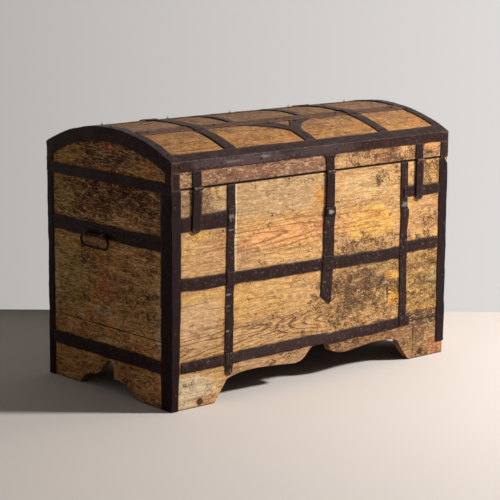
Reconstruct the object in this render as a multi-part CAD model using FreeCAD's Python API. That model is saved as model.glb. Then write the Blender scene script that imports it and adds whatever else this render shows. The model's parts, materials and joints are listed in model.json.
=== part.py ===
import FreeCAD, Part
import math
import os

# An iron-bound chest with a domed lid, in millimetres
# X runs along the front, Y from the front to the back, Z up
# The origin is on the floor, under the middle of the chest

Vector = FreeCAD.Vector

# The whole chest
chest_length = 1120.0
chest_depth = 600.0
rim_height = 636.0
lid_side_height = 79.0
dome_rise = 70.0
seam_gap = 0.3
lip_play = 0.3
overrun = 20.0

# Boards
wall_board = 26.0
lid_rail_board = 26.0
lid_end_thickness = 22.0
stave_thickness = 20.0
bottom_thickness = 20.0
cleat_depth = 30.0
cleat_height = 24.0
skirt_height = 124.0
end_board_seam = 197.0
foot_block_share = 0.75
bottom_seam_share = 0.08

# Shaped lower edges, as shares of half the chest's length or depth and of the skirt's height
front_arch_share = ((-0.714, 0.0), (-0.629, 0.516))
front_ogee_share = (
    (-0.629, 0.516), (-0.532, 0.613), (-0.382, 0.621), (-0.191, 0.556), (-0.129, 0.552),
    (-0.075, 0.669), (-0.025, 0.879), (0.027, 0.911), (0.0875, 0.887),
)
front_wave_share = (
    (0.105, 0.694), (0.171, 0.581), (0.298, 0.589), (0.461, 0.653), (0.545, 0.637), (0.630, 0.556),
)
front_heel_share = ((0.657, 0.347), (0.723, 0.0))
end_rise_share = ((0.483, 0.0), (0.307, 0.298), (0.170, 0.387), (0.070, 0.661), (-0.063, 0.758))
end_fall_share = ((-0.073, 0.339), (-0.200, 0.323), (-0.327, 0.218), (-0.500, 0.0))
back_arch_share = ((-0.714, 0.0), (-0.640, 0.56), (0.640, 0.56), (0.714, 0.0))

# Iron strips
iron = 3.0
bend_radius = 2.4
front_leg = 35.0
front_leg_foot = 24.0
front_end_leg = 50.0
back_end_leg = 28.0
back_leg = 35.0
right_iron_foot = 40.0
right_shoulder_width = 14.0
right_shoulder_drop = 22.0
lip_drop = 10.0
lip_clearance = 0.5
band_width = 36.0
middle_band_left = 346.0
middle_band_right = 334.0
right_band_lift = 15.0
lower_band_width = 32.0
lower_band_left = 107.0
lower_band_lap = 112.0
lower_band_right_start = 107.0
lower_band_right = 114.0
lap_share = 0.082
lap_width = 0.4
lower_band_end_share = 0.716
end_middle_drop = 179.0
end_middle_width = 41.0
end_lower_band = 103.0
end_lower_width = 38.0
short_band_drop = 120.0
short_band_height = 40.0
short_band_flare = 8.0
right_short_drop = 111.0
right_short_height = 32.0

# Upright straps on the front: places as shares of half the length
left_strap_share = -0.605
left_strap_width = 28.0
left_strap_end = 75.0
left_strap_lean = -8.0
right_strap_share = 0.657
right_strap_width = 29.0
right_strap_end = 118.0
right_strap_bulge = 6.0
right_bulge_drops = (144.0, 150.0, 172.0, 216.0)
lock_strap_share = 0.089
lock_strap_width = 43.0
lock_strap_lap = 10.0
lock_strap_foot = 246.0
lock_strap_lean = -12.0
lock_strap_chip = 16.0

# Knuckles of the hinges and hasps: how far the axis and the barrel stand from the wood
axis_offset = 6.0
knuckle_radius = 5.6
running_play = 0.05
knuckle_gap = 0.4
swing_gap = 1.0
tongue_share = 0.4

# Hasps and the hangers that carry them on the lid
hasp_thickness = 4.0
hasp_stand_off = 0.5
hasp_pin_radius = 2.2
left_hasp_share = -0.833
left_hasp_width = 31.0
left_hasp_drop = 128.0
left_hasp_lean = -5.0
centre_hasp_share = 0.087
centre_hasp_width = 32.0
centre_hasp_drop = 132.0
centre_hasp_lean = -1.0
hasp_knob_width = 39.0
hasp_knob_height = 25.0
hasp_knob_depth = 8.0
hasp_knob_round = 3.5
right_hasp_share = 0.770
right_hasp_width = 30.0
right_hasp_drop = 124.0
right_hasp_lean = -1.0
hanger_flare = 9.0
hanger_flare_height = 14.0

# Hinges at the back
hinge_pin_radius = 2.6
hinge_width = 42.0
leaf_clearance = 38.0
leaf_point = 22.0

# Irons on the lid
edge_drop = 27.0
edge_top_leg = 32.0
arch_top_leg = 30.0
arch_face_leg = 42.0
rim_band_rise = 20.0
rim_wrap = 22.0
ridge_inner = 92.0
ridge_width = 33.0
lid_strap_width = 40.0
left_lid_strap_front_share = -0.560
left_lid_strap_back_share = -0.580
right_lid_strap_front_share = 0.548
right_lid_strap_back_share = 0.526
lid_corner_leg = 32.0
lid_corner_end_leg = 30.0

# The forked bands on the middle of the lid, and the two strips that join them over the crest
fork_strip_width = 44.0
fork_length = 78.0
fork_left_spread = 172.0
fork_right_spread = 128.0
fork_bow = 14.0
fork_notch_half = 38.0
fork_notch_depth = 50.0
crest_strip_width = 23.0

# Drop handles on the ends
handle_length = 138.0
handle_drop = 45.0
handle_bar = 4.0
handle_place = 50.0
handle_rise = 9.0
handle_play = 0.4
eye_wall = 4.5
eye_width = 9.0
eye_shank = 7.0
eye_reach = 42.0

# Nails and pegs
nail_head_radius = 4.5
nail_head_height = 1.4
nail_head_top_radius = 2.6
nail_shank = 3.6
nail_length = 20.0
nail_inset = 16.0
strap_nail_share = (0.043, 0.257, 0.617, 0.765)
peg_radius = 9.5
peg_length = 22.0
left_peg_share = (-0.813, 0.125)
right_peg_share = (0.813, 0.165)

# Places worked out from the sizes above
half_length = chest_length / 2
half_depth = chest_depth / 2
wood_x = half_length - iron
wood_y = half_depth - iron
inner_x = wood_x - wall_board
inner_y = wood_y - wall_board
front_board_seam = (middle_band_left + middle_band_right + band_width) / 2
right_band_foot = middle_band_right + right_band_lift
short_band_foot = rim_height - short_band_drop
right_short_foot = rim_height - right_short_drop
end_middle_band = rim_height - end_middle_drop
handle_height = end_middle_band + handle_rise
lid_foot = rim_height + seam_gap
lid_wood_x = wood_x + lip_play
lid_inner_y = wood_y - lid_rail_board
edge_z = lid_foot + lid_side_height
arc_radius = (wood_y ** 2 + dome_rise ** 2) / (2 * dome_rise)
arc_z = edge_z + dome_rise - arc_radius
dome_top = edge_z + dome_rise + 2 * iron + overrun
axis_z = rim_height + seam_gap / 2
lock_strap_top = axis_z - centre_hasp_drop + lock_strap_lap
leaf_foot = middle_band_left + band_width + leaf_clearance + leaf_point
hasp_axis_y = -(wood_y + axis_offset)
hinge_axis_y = wood_y + axis_offset
lip_foot = rim_height - lip_drop
rim_band_top = lid_foot + rim_band_rise
edge_foot = edge_z - edge_drop
corner_iron_top = lip_foot - lip_clearance
left_hinge_x = left_lid_strap_back_share * half_length
right_hinge_x = right_lid_strap_back_share * half_length


def box(x_low, x_high, y_low, y_high, z_low, z_high):
    corner = Vector(x_low, y_low, z_low)
    return Part.makeBox(x_high - x_low, y_high - y_low, z_high - z_low, corner)


def face_through(corners):
    return Part.Face(Part.makePolygon(corners + corners[:1]))


def front_prism(outline, y_low, y_high):
    face = face_through([Vector(x, y_low, z) for x, z in outline])
    return face.extrude(Vector(0, y_high - y_low, 0))


def end_prism(outline, x_low, x_high):
    face = face_through([Vector(x_low, y, z) for y, z in outline])
    return face.extrude(Vector(x_high - x_low, 0, 0))


def plan_prism(outline, z_low, z_high):
    face = face_through([Vector(x, y, z_low) for x, y in outline])
    return face.extrude(Vector(0, 0, z_high - z_low))


def fused(solids):
    return solids[0].fuse(solids[1:]).removeSplitter()


def mirrored(solid, normal):
    return solid.mirror(Vector(0, 0, 0), normal)


def to_right(solid):
    return mirrored(solid, Vector(1, 0, 0))


def to_back(solid):
    return mirrored(solid, Vector(0, 1, 0))


def grouped(solids):
    return Part.makeCompound([part for solid in solids for part in solid.Solids])


def x_cylinder(x_low, x_high, y, z, radius):
    return Part.makeCylinder(radius, x_high - x_low, Vector(x_low, y, z), Vector(1, 0, 0))


def smooth_edge(points):
    curve = Part.BSplineCurve()
    curve.interpolate(points)
    return curve.toShape()


# Shaped lower edges of the walls


def placed(shares, half_span, plane):
    return [plane(across * half_span, up * skirt_height) for across, up in shares]


def cut_out(edges, floor_points, sweep):
    # The closing lines run below the floor, so that the cut leaves no skin there
    start, finish = floor_points
    below = Vector(0, 0, -overrun)
    edges.append(Part.makeLine(finish, finish + below))
    edges.append(Part.makeLine(finish + below, start + below))
    edges.append(Part.makeLine(start + below, start))
    return Part.Face(Part.Wire(Part.sortEdges(edges)[0])).extrude(sweep)


def front_skirt_cut():
    y_low = -wood_y - overrun

    def plane(x, z):
        return Vector(x, y_low, z)

    arch = placed(front_arch_share, half_length, plane)
    ogee = placed(front_ogee_share, half_length, plane)
    wave = placed(front_wave_share, half_length, plane)
    heel = placed(front_heel_share, half_length, plane)
    edges = [
        Part.makeLine(arch[0], arch[1]),
        smooth_edge(ogee),
        Part.makeLine(ogee[-1], wave[0]),
        smooth_edge(wave),
        smooth_edge([wave[-1]] + heel),
    ]
    return cut_out(edges, (arch[0], heel[-1]), Vector(0, wall_board + 2 * overrun, 0))


def end_skirt_cut():
    x_low = -wood_x - overrun

    def plane(y, z):
        return Vector(x_low, y, z)

    rise = placed(end_rise_share, half_depth, plane)
    fall = placed(end_fall_share, half_depth, plane)
    edges = [smooth_edge(rise), Part.makeLine(rise[-1], fall[0]), smooth_edge(fall)]
    return cut_out(edges, (rise[0], fall[-1]), Vector(wall_board + 2 * overrun, 0, 0))


def back_skirt_cut():
    arch = [(across * half_length, up * skirt_height) for across, up in back_arch_share]
    outline = [(arch[0][0], -overrun)] + arch + [(arch[-1][0], -overrun)]
    return front_prism(outline, inner_y - overrun, wood_y + overrun)


# Walls, bottom and cleats


def wall_boards():
    front_cut = front_skirt_cut()
    end_cut = end_skirt_cut()
    block_x = foot_block_share * half_length
    upper = box(-wood_x, wood_x, -wood_y, -inner_y, front_board_seam, rim_height)
    lower = box(-wood_x, wood_x, -wood_y, -inner_y, skirt_height, front_board_seam)
    apron = box(-wood_x, block_x, -wood_y, -inner_y, 0, skirt_height).cut(front_cut)
    block = box(block_x, wood_x, -wood_y, -inner_y, 0, skirt_height)
    back_upper = box(-wood_x, wood_x, inner_y, wood_y, front_board_seam, rim_height)
    back_lower = box(-wood_x, wood_x, inner_y, wood_y, 0, front_board_seam).cut(back_skirt_cut())
    end_upper = box(-wood_x, -inner_x, -inner_y, inner_y, end_board_seam, rim_height)
    end_lower = box(-wood_x, -inner_x, -inner_y, inner_y, 0, end_board_seam).cut(end_cut)
    return {
        "front_upper_board": upper,
        "front_lower_board": lower,
        "front_apron": apron,
        "front_foot_block": block,
        "back_upper_board": back_upper,
        "back_lower_board": back_lower,
        "left_end_upper_board": end_upper,
        "left_end_lower_board": end_lower,
        "right_end_upper_board": to_right(end_upper),
        "right_end_lower_board": to_right(end_lower),
    }


def bottom_pieces():
    seam_y = bottom_seam_share * half_depth
    floor_top = skirt_height + bottom_thickness
    cleat_foot = skirt_height - cleat_height
    cleat = box(-inner_x, inner_x, -inner_y, -inner_y + cleat_depth, cleat_foot, skirt_height)
    return {
        "bottom_front_board": box(-inner_x, inner_x, -inner_y, seam_y, skirt_height, floor_top),
        "bottom_back_board": box(-inner_x, inner_x, seam_y, inner_y, skirt_height, floor_top),
        "floor_cleats": grouped([cleat, to_back(cleat)]),
    }


# Wooden lid


def dome_shell(inner_radius, outer_radius):
    reach = lid_wood_x + overrun
    outer = x_cylinder(-reach, reach, 0, arc_z, outer_radius)
    inner = x_cylinder(-reach - overrun, reach + overrun, 0, arc_z, inner_radius)
    upper_half = box(-reach, reach, -half_depth, half_depth, lid_foot, dome_top)
    return outer.common(upper_half).cut(inner)


def dome_height(y, radius):
    return arc_z + math.sqrt(radius ** 2 - y ** 2)


def lid_boards():
    inner_radius = arc_radius - stave_thickness
    shell = dome_shell(inner_radius, arc_radius)
    core = x_cylinder(-lid_wood_x - overrun, lid_wood_x + overrun, 0, arc_z, inner_radius)
    rail = box(-lid_wood_x, lid_wood_x, -wood_y, -lid_inner_y, lid_foot, dome_top).common(core)
    end_x = lid_wood_x - lid_end_thickness
    end = box(-lid_wood_x, -end_x, -lid_inner_y, lid_inner_y, lid_foot, dome_top).common(core)
    seam_y = ridge_inner + ridge_width / 2
    side_stave = box(-lid_wood_x, lid_wood_x, -wood_y, -seam_y, lid_foot, dome_top).common(shell)
    crest_stave = box(-lid_wood_x, lid_wood_x, -seam_y, 0, lid_foot, dome_top).common(shell)
    return {
        "lid_front_rail": rail,
        "lid_back_rail": to_back(rail),
        "lid_left_end_board": end,
        "lid_right_end_board": to_right(end),
        "lid_front_stave": side_stave,
        "lid_front_crest_stave": crest_stave,
        "lid_back_crest_stave": to_back(crest_stave),
        "lid_back_stave": to_back(side_stave),
    }


# Irons on the front


def front_plate(outline, layer=0):
    near = -wood_y - layer * iron
    return front_prism(outline, near - iron, near)


def strip_outline(strip, grow=0):
    # A strip is two ends in X, the height of its foot at each, and its width at each
    x_low, x_high, foot_low, foot_high, width_low, width_high = strip
    return [
        (x_low - grow, foot_low - grow), (x_high + grow, foot_high - grow),
        (x_high + grow, foot_high + width_high + grow), (x_low - grow, foot_low + width_low + grow),
    ]


def laid_over(outline, strips):
    # A strap lies on the wood and steps over each strip that it crosses
    solid = front_plate(outline)
    for strip in strips:
        solid = solid.cut(front_plate(strip_outline(strip)))
    for strip in strips:
        step = front_plate(outline, 1).common(front_plate(strip_outline(strip, iron), 1))
        solid = solid.fuse(step)
    return solid.removeSplitter()


def round_end(x, z, radius):
    return Part.makeCylinder(radius, iron, Vector(x, -wood_y - iron, z), Vector(0, 1, 0))


def front_strips():
    left_x = -half_length + front_leg
    right_x = half_length - front_leg
    left_strap_x = left_strap_share * half_length
    right_strap_x = right_strap_share * half_length
    lap_x = lap_share * half_length
    return {
        "middle": (left_x, right_strap_x, middle_band_left, middle_band_right, band_width, band_width),
        "right": (right_strap_x, right_x, right_band_foot, right_band_foot, band_width, band_width),
        "lower_left": (
            left_x, lap_x, lower_band_left, lower_band_lap, lower_band_width, lower_band_width),
        "lower_right": (
            lap_x + lap_width, lower_band_end_share * half_length,
            lower_band_right_start, lower_band_right, lower_band_width, lower_band_width),
        "short_left": (
            left_x, left_strap_x, short_band_foot, short_band_foot,
            short_band_height, short_band_height + short_band_flare),
        "short_right": (
            right_strap_x, right_x, right_short_foot, right_short_foot,
            right_short_height, right_short_height),
    }


def left_strap_outline():
    x_top = left_strap_share * half_length
    x_foot = x_top + left_strap_lean
    half = left_strap_width / 2
    foot = left_strap_end + half
    return [
        (x_foot - half, foot), (x_foot + half, foot),
        (x_top + half, rim_height), (x_top - half, rim_height),
    ]


def right_strap_outline():
    x = right_strap_share * half_length
    half = right_strap_width / 2
    high, upper, lower, low = [rim_height - drop for drop in right_bulge_drops]
    bulge = x + half + right_strap_bulge
    return [
        (x - half, right_strap_end), (x + half, right_strap_end), (x + half, low), (bulge, lower),
        (bulge, upper), (x + half, high), (x + half, rim_height), (x - half, rim_height),
    ]


def lock_strap_outline():
    x_top = lock_strap_share * half_length
    x_foot = x_top + lock_strap_lean
    half = lock_strap_width / 2
    return [
        (x_foot - half, lock_strap_foot + lock_strap_chip),
        (x_foot + half - lock_strap_chip / 2, lock_strap_foot - lock_strap_chip),
        (x_foot + half, lock_strap_foot - lock_strap_chip / 2),
        (x_top + half, lock_strap_top), (x_top - half, lock_strap_top),
    ]


def front_straps(strips):
    left_foot_x = left_strap_share * half_length + left_strap_lean
    left_half = left_strap_width / 2
    left = laid_over(left_strap_outline(), [strips["short_left"], strips["middle"], strips["lower_left"]])
    left = fused([left, round_end(left_foot_x, left_strap_end + left_half, left_half)])
    right = laid_over(right_strap_outline(), [
        strips["short_right"], strips["middle"], strips["right"], strips["lower_right"]])
    lock = laid_over(lock_strap_outline(), [strips["middle"]])
    return {"front_left_strap": left, "front_right_strap": right, "lock_strap": lock}


# Corner irons of the walls


def angle_iron(front_outline, end_outline):
    # The two legs meet at the outer corner, which is rounded by the bend
    front = front_prism(front_outline, -half_depth, -wood_y)
    end = end_prism(end_outline, -half_length, -wood_x)
    solid = fused([front, end])
    corner = [
        edge for edge in solid.Edges
        if edge.BoundBox.XMax < -wood_x - iron / 2 and edge.BoundBox.YMax < -wood_y - iron / 2
    ]
    return solid.makeFillet(bend_radius, corner)


def corner_irons():
    x_leg = -half_length + front_leg
    x_foot = -half_length + front_leg_foot
    y_leg = -half_depth + front_end_leg
    left_front = angle_iron(
        [(-half_length, 0), (x_foot, 0), (x_leg, front_board_seam), (x_leg, rim_height),
         (-half_length, rim_height)],
        [(-half_depth, 0), (y_leg, 0), (y_leg, corner_iron_top), (-half_depth, corner_iron_top)])
    shoulder = rim_height - right_shoulder_drop
    right_front = to_right(angle_iron(
        [(-half_length, right_iron_foot), (x_leg, right_iron_foot), (x_leg, rim_height),
         (-half_length + right_shoulder_width, rim_height), (-half_length, shoulder)],
        [(-half_depth, right_iron_foot), (y_leg, right_iron_foot), (y_leg, shoulder),
         (-half_depth, shoulder)]))
    y_back = -half_depth + back_end_leg
    x_back = -half_length + back_leg
    back = to_back(angle_iron(
        [(-half_length, 0), (x_back, 0), (x_back, corner_iron_top), (-half_length, corner_iron_top)],
        [(-half_depth, 0), (y_back, 0), (y_back, corner_iron_top), (-half_depth, corner_iron_top)]))
    return {
        "left_front_corner_iron": left_front,
        "right_front_corner_iron": right_front,
        "left_back_corner_iron": back,
        "right_back_corner_iron": to_right(back),
    }


def end_bands():
    front_y = -half_depth + front_end_leg
    back_y = half_depth - back_end_leg
    middle_top = end_middle_band + end_middle_width
    lower_top = end_lower_band + end_lower_width
    middle = box(-half_length, -wood_x, front_y, back_y, end_middle_band, middle_top)
    lower = box(-half_length, -wood_x, front_y, back_y, end_lower_band, lower_top)
    return grouped([middle, lower])


def back_bands():
    reach = half_length - back_leg
    middle = box(-reach, reach, wood_y, half_depth, middle_band_left, middle_band_left + band_width)
    lower = box(-reach, reach, wood_y, half_depth, lower_band_left, lower_band_left + lower_band_width)
    return grouped([middle, lower])


# Hinge knuckles


def knuckle_spans(x, width):
    # The middle knuckle, and the two beside it, with a gap between
    half = width / 2
    middle = half * tongue_share
    left = (x - half, x - middle - knuckle_gap)
    right = (x + middle + knuckle_gap, x + half)
    return (x - middle, x + middle), left, right


def knuckle(span, y, radius, y_near, y_far, z_reach):
    barrel = x_cylinder(span[0], span[1], y, axis_z, radius)
    z_low, z_high = sorted((axis_z, z_reach))
    tongue = box(span[0], span[1], y_near, y_far, z_low, z_high)
    return barrel.fuse(tongue)


def hasp_axis_bore(x, width, radius):
    return x_cylinder(x - width, x + width, hasp_axis_y, axis_z, radius)


def hanger(x, width, flare):
    middle, left, right = knuckle_spans(x, width)
    foot = axis_z + knuckle_radius + swing_gap
    half = width / 2
    outline = [
        (x - half, foot), (x + half, foot), (x + half, edge_foot - hanger_flare_height),
        (x + half + flare, edge_foot), (x - half - flare, edge_foot),
        (x - half, edge_foot - hanger_flare_height),
    ]
    solids = [front_plate(outline)]
    for span in (left, right):
        solids.append(knuckle(span, hasp_axis_y, knuckle_radius, -half_depth, -wood_y, foot))
    return fused(solids).cut(hasp_axis_bore(x, width, hasp_pin_radius))


def hasp_knob(x, foot, y_back):
    # The thick end of the middle hasp, rounded all round its front face
    half = hasp_knob_width / 2
    y_front = y_back - hasp_knob_depth
    block = box(x - half, x + half, y_front, y_back, foot, foot + hasp_knob_height)
    rims = [edge for edge in block.Edges if edge.BoundBox.YMax < y_front + hasp_knob_round / 2]
    return block.makeFillet(hasp_knob_round, rims)


def hasp(x, width, drop, lean, knobbed):
    middle = knuckle_spans(x, width)[0]
    y_back = -half_depth - hasp_stand_off
    y_front = y_back - hasp_thickness
    head = axis_z - knuckle_radius - swing_gap
    half = width / 2
    foot = axis_z - drop + (hasp_knob_round if knobbed else half)
    tip = x + lean
    outline = [(tip - half, foot), (tip + half, foot), (x + half, head), (x - half, head)]
    solids = [
        front_prism(outline, y_front, y_back),
        knuckle(middle, hasp_axis_y, knuckle_radius, y_front, y_back, head),
    ]
    if knobbed:
        solids.append(hasp_knob(tip, axis_z - drop, y_back))
    else:
        end = Part.makeCylinder(half, hasp_thickness, Vector(tip, y_front, foot), Vector(0, 1, 0))
        solids.append(end)
    return fused(solids).cut(hasp_axis_bore(x, width, hasp_pin_radius + running_play))


def hasp_pin(x, width):
    return x_cylinder(x - width / 2, x + width / 2, hasp_axis_y, axis_z, hasp_pin_radius)


def hasp_sets():
    left_x = left_hasp_share * half_length
    centre_x = centre_hasp_share * half_length
    right_x = right_hasp_share * half_length
    hangers = [
        hanger(left_x, left_hasp_width, 0),
        hanger(centre_x, centre_hasp_width, hanger_flare),
        hanger(right_x, right_hasp_width, 0),
    ]
    pins = [
        hasp_pin(left_x, left_hasp_width),
        hasp_pin(centre_x, centre_hasp_width),
        hasp_pin(right_x, right_hasp_width),
    ]
    return {
        "hasp_hangers": grouped(hangers),
        "hasp_pins": grouped(pins),
        "left_hasp": hasp(left_x, left_hasp_width, left_hasp_drop, left_hasp_lean, False),
        "centre_hasp": hasp(centre_x, centre_hasp_width, centre_hasp_drop, centre_hasp_lean, True),
        "right_hasp": hasp(right_x, right_hasp_width, right_hasp_drop, right_hasp_lean, False),
    }


def hinge_leaf(x):
    middle, left, right = knuckle_spans(x, hinge_width)
    head = axis_z - knuckle_radius - swing_gap
    half = hinge_width / 2
    outline = [
        (x, leaf_foot - leaf_point), (x + half, leaf_foot), (x + half, head),
        (x - half, head), (x - half, leaf_foot),
    ]
    solids = [front_prism(outline, wood_y, half_depth)]
    for span in (left, right):
        solids.append(knuckle(span, hinge_axis_y, knuckle_radius, wood_y, half_depth, head))
    bore = x_cylinder(x - hinge_width, x + hinge_width, hinge_axis_y, axis_z, hinge_pin_radius)
    return fused(solids).cut(bore)


def hinge_pin(x):
    half = hinge_width / 2
    return x_cylinder(x - half, x + half, hinge_axis_y, axis_z, hinge_pin_radius)


# Irons on the lid


def dome_band(outline, layer=0):
    near = arc_radius + layer * iron
    return plan_prism(outline, lid_foot, dome_top).common(dome_shell(near, near + iron))


def plan_strip(x_front, x_back, y_front, y_back, width):
    half = width / 2
    return [
        (x_front - half, y_front), (x_front + half, y_front),
        (x_back + half, y_back), (x_back - half, y_back),
    ]


def ridge_outline(grow):
    reach = lid_wood_x - arch_top_leg
    y_near = ridge_inner - grow
    y_far = ridge_inner + ridge_width + grow
    return [(-reach, -y_far), (reach, -y_far), (reach, -y_near), (-reach, -y_near)]


def lid_strap(front_share, back_share, ridges):
    x_front = front_share * half_length
    x_back = back_share * half_length
    y_front = -(wood_y - edge_top_leg)
    half = lid_strap_width / 2
    outline = [
        (x_front - half, y_front), (x_front + half, y_front),
        (x_back + half, -y_front), (x_back + half, half_depth),
        (x_back - half, half_depth), (x_back - half, -y_front),
    ]
    flat = dome_band(outline)
    raised = []
    over = dome_band(outline, 1)
    for ridge in ridges:
        flat = flat.cut(ridge)
    step = plan_prism(ridge_outline(iron), lid_foot, dome_top)
    for zone in (step, to_back(step)):
        raised.append(over.common(zone))
    middle = knuckle_spans(x_back, hinge_width)[0]
    foot = axis_z + knuckle_radius + swing_gap
    back_plate = box(x_back - half, x_back + half, wood_y, half_depth, foot, edge_z)
    eye = knuckle(middle, hinge_axis_y, knuckle_radius, wood_y, half_depth, foot)
    bore_radius = hinge_pin_radius + running_play
    bore = x_cylinder(x_back - hinge_width, x_back + hinge_width, hinge_axis_y, axis_z, bore_radius)
    return fused([flat, back_plate, eye] + raised).cut(bore)


def arch_iron():
    reach = lid_wood_x - arch_top_leg
    top = dome_band([
        (-lid_wood_x - iron, -half_depth), (-reach, -half_depth),
        (-reach, half_depth), (-lid_wood_x - iron, half_depth)])
    ring = dome_shell(arc_radius + iron - arch_face_leg, arc_radius + iron)
    face = box(-lid_wood_x - iron, -lid_wood_x, -half_depth, half_depth, lid_foot, dome_top).common(ring)
    return fused([top, face])


def edge_iron(arches):
    reach = lid_wood_x - arch_top_leg
    leg_y = wood_y - edge_top_leg
    top = dome_band([(-reach, -half_depth), (reach, -half_depth), (reach, -leg_y), (-reach, -leg_y)])
    out = lid_wood_x + iron
    front = box(-out, out, -half_depth, -wood_y, edge_foot, edge_z)
    return fused([top, front]).cut(arches)


def rim_band():
    # The lower part hangs past the seam as a lip over the end of the chest
    out = lid_wood_x + iron
    plate = box(-out, -lid_wood_x, -half_depth, half_depth, lid_foot, rim_band_top)
    lip = box(-out, -lid_wood_x, -wood_y + lip_clearance, half_depth, lip_foot, lid_foot)
    wrap = box(-out, -out + rim_wrap, wood_y, half_depth, lid_foot, rim_band_top)
    return fused([plate, lip, wrap])


def lid_corner(rim, arches, edges, wrapped):
    out = lid_wood_x + iron
    foot = rim_band_top if wrapped else lid_foot
    front = box(-out, -out + lid_corner_leg, -half_depth, -wood_y, foot, edge_foot)
    end = box(-out, -lid_wood_x, -half_depth, -half_depth + lid_corner_end_leg, rim_band_top, edge_foot)
    solid = fused([front, end])
    if wrapped:
        solid = to_back(solid)
    return solid.cut(rim).cut(arches).cut(edges)


def lid_irons():
    left_arch = arch_iron()
    arches = grouped([left_arch, to_right(left_arch)])
    left_rim = rim_band()
    rims = grouped([left_rim, to_right(left_rim)])
    front_ridge = dome_band(ridge_outline(0))
    ridges = [front_ridge, to_back(front_ridge)]
    left_strap = lid_strap(left_lid_strap_front_share, left_lid_strap_back_share, ridges)
    right_strap = lid_strap(right_lid_strap_front_share, right_lid_strap_back_share, ridges)
    front_edge = edge_iron(arches)
    back_edge = to_back(front_edge)
    for x in (left_hinge_x, right_hinge_x):
        half = lid_strap_width / 2
        back_edge = back_edge.cut(box(x - half, x + half, 0, half_depth, lid_foot, edge_z))
    back_edge = back_edge.cut(left_strap).cut(right_strap)
    corners = []
    for wrapped in (False, True):
        edge = back_edge if wrapped else front_edge
        corner = lid_corner(left_rim, left_arch, edge, wrapped)
        corners += [corner, to_right(corner)]
    return {
        "lid_front_edge_iron": front_edge,
        "lid_back_edge_iron": grouped([back_edge]),
        "lid_arch_irons": arches,
        "lid_rim_bands": rims,
        "lid_ridge_bands": grouped(ridges),
        "lid_left_strap": left_strap,
        "lid_right_strap": right_strap,
        "lid_corner_irons": grouped(corners),
        "lid_fork_bands": fork_bands(),
    }


def bowed(start, finish, bow):
    # An arc between two plan points, bowed to its left by the given amount
    middle = (start + finish) * 0.5
    along = (finish - start).normalize()
    side = Vector(-along.y, along.x, 0)
    return Part.Arc(start, middle + side * bow, finish).toShape()


def front_fork():
    # A strip that starts at the edge iron and spreads into two arms at the ridge band
    half = fork_strip_width / 2
    y_start = -(wood_y - edge_top_leg)
    y_ridge = -(ridge_inner + ridge_width)
    y_split = y_ridge - fork_length

    def point(x, y):
        return Vector(x, y, lid_foot)

    tip = point(0, y_ridge - fork_notch_depth)
    edges = [
        Part.makeLine(point(-half, y_start), point(half, y_start)),
        Part.makeLine(point(half, y_start), point(half, y_split)),
        bowed(point(half, y_split), point(fork_right_spread, y_ridge), fork_bow),
        Part.makeLine(point(fork_right_spread, y_ridge), point(fork_notch_half, y_ridge)),
        Part.makeLine(point(fork_notch_half, y_ridge), tip),
        Part.makeLine(tip, point(-fork_notch_half, y_ridge)),
        Part.makeLine(point(-fork_notch_half, y_ridge), point(-fork_left_spread, y_ridge)),
        bowed(point(-fork_left_spread, y_ridge), point(-half, y_split), fork_bow),
        Part.makeLine(point(-half, y_split), point(-half, y_start)),
    ]
    prism = Part.Face(Part.Wire(edges)).extrude(Vector(0, 0, dome_top - lid_foot))
    return prism.common(dome_shell(arc_radius, arc_radius + iron))


def fork_bands():
    front = front_fork()
    left_x = -fork_left_spread + crest_strip_width / 2
    right_x = fork_right_spread - crest_strip_width / 2
    crest = [
        dome_band(plan_strip(x, x, -ridge_inner, ridge_inner, crest_strip_width))
        for x in (left_x, right_x)
    ]
    return grouped([front, to_back(front)] + crest)


# Drop handles


def left_handle_parts():
    x = -half_length - handle_bar - handle_play - eye_wall
    end_radius = handle_drop / 2 - handle_bar
    reach = handle_length / 2 - handle_bar - end_radius
    z_mid = handle_height - end_radius

    def bar(z):
        start = Vector(x, handle_place - reach, z)
        return Part.makeCylinder(handle_bar, 2 * reach, start, Vector(0, 1, 0))

    def bow(side):
        centre = Vector(x, handle_place + side * reach, z_mid)
        ring = Part.makeTorus(end_radius, handle_bar, centre, Vector(1, 0, 0))
        y_out = centre.y + side * (end_radius + 2 * handle_bar)
        y_low, y_high = sorted((centre.y, y_out))
        span = end_radius + 2 * handle_bar
        half = box(x - 2 * handle_bar, x + 2 * handle_bar, y_low, y_high, z_mid - span, z_mid + span)
        return ring.common(half)

    ring = fused([bar(handle_height), bar(z_mid - end_radius), bow(1), bow(-1)])
    eyes = [handle_eye(x, handle_place + side * eye_reach) for side in (-1, 1)]
    return ring, grouped(eyes)


def handle_eye(x, y_mid):
    eye_inner = handle_bar + handle_play
    eye_outer = eye_inner + eye_wall
    y_low = y_mid - eye_width / 2
    eye = Part.makeCylinder(eye_outer, eye_width, Vector(x, y_low, handle_height), Vector(0, 1, 0))
    shank_y = y_mid - eye_shank / 2
    half = eye_shank / 2
    shank = box(x, -inner_x, shank_y, shank_y + eye_shank, handle_height - half, handle_height + half)
    start = Vector(x, y_low - overrun / 2, handle_height)
    hole = Part.makeCylinder(eye_inner, eye_width + overrun, start, Vector(0, 1, 0))
    return fused([eye, shank]).cut(hole)


# Nails and pegs


def nail(point, outward):
    head = Part.makeCone(nail_head_radius, nail_head_top_radius, nail_head_height)
    half = nail_shank / 2
    shank = box(-half, half, -half, half, -nail_length, 0)
    solid = head.fuse(shank).removeSplitter()
    solid.Placement = FreeCAD.Placement(point, FreeCAD.Rotation(Vector(0, 0, 1), outward))
    return solid


def spread(start, finish, count):
    return [start + (finish - start) * k / (count - 1) for k in range(count)]


def front_nail(x, z, layers=1):
    return nail(Vector(x, -wood_y - layers * iron, z), Vector(0, -1, 0))


def back_nail(x, z):
    return nail(Vector(x, half_depth, z), Vector(0, 1, 0))


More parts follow.
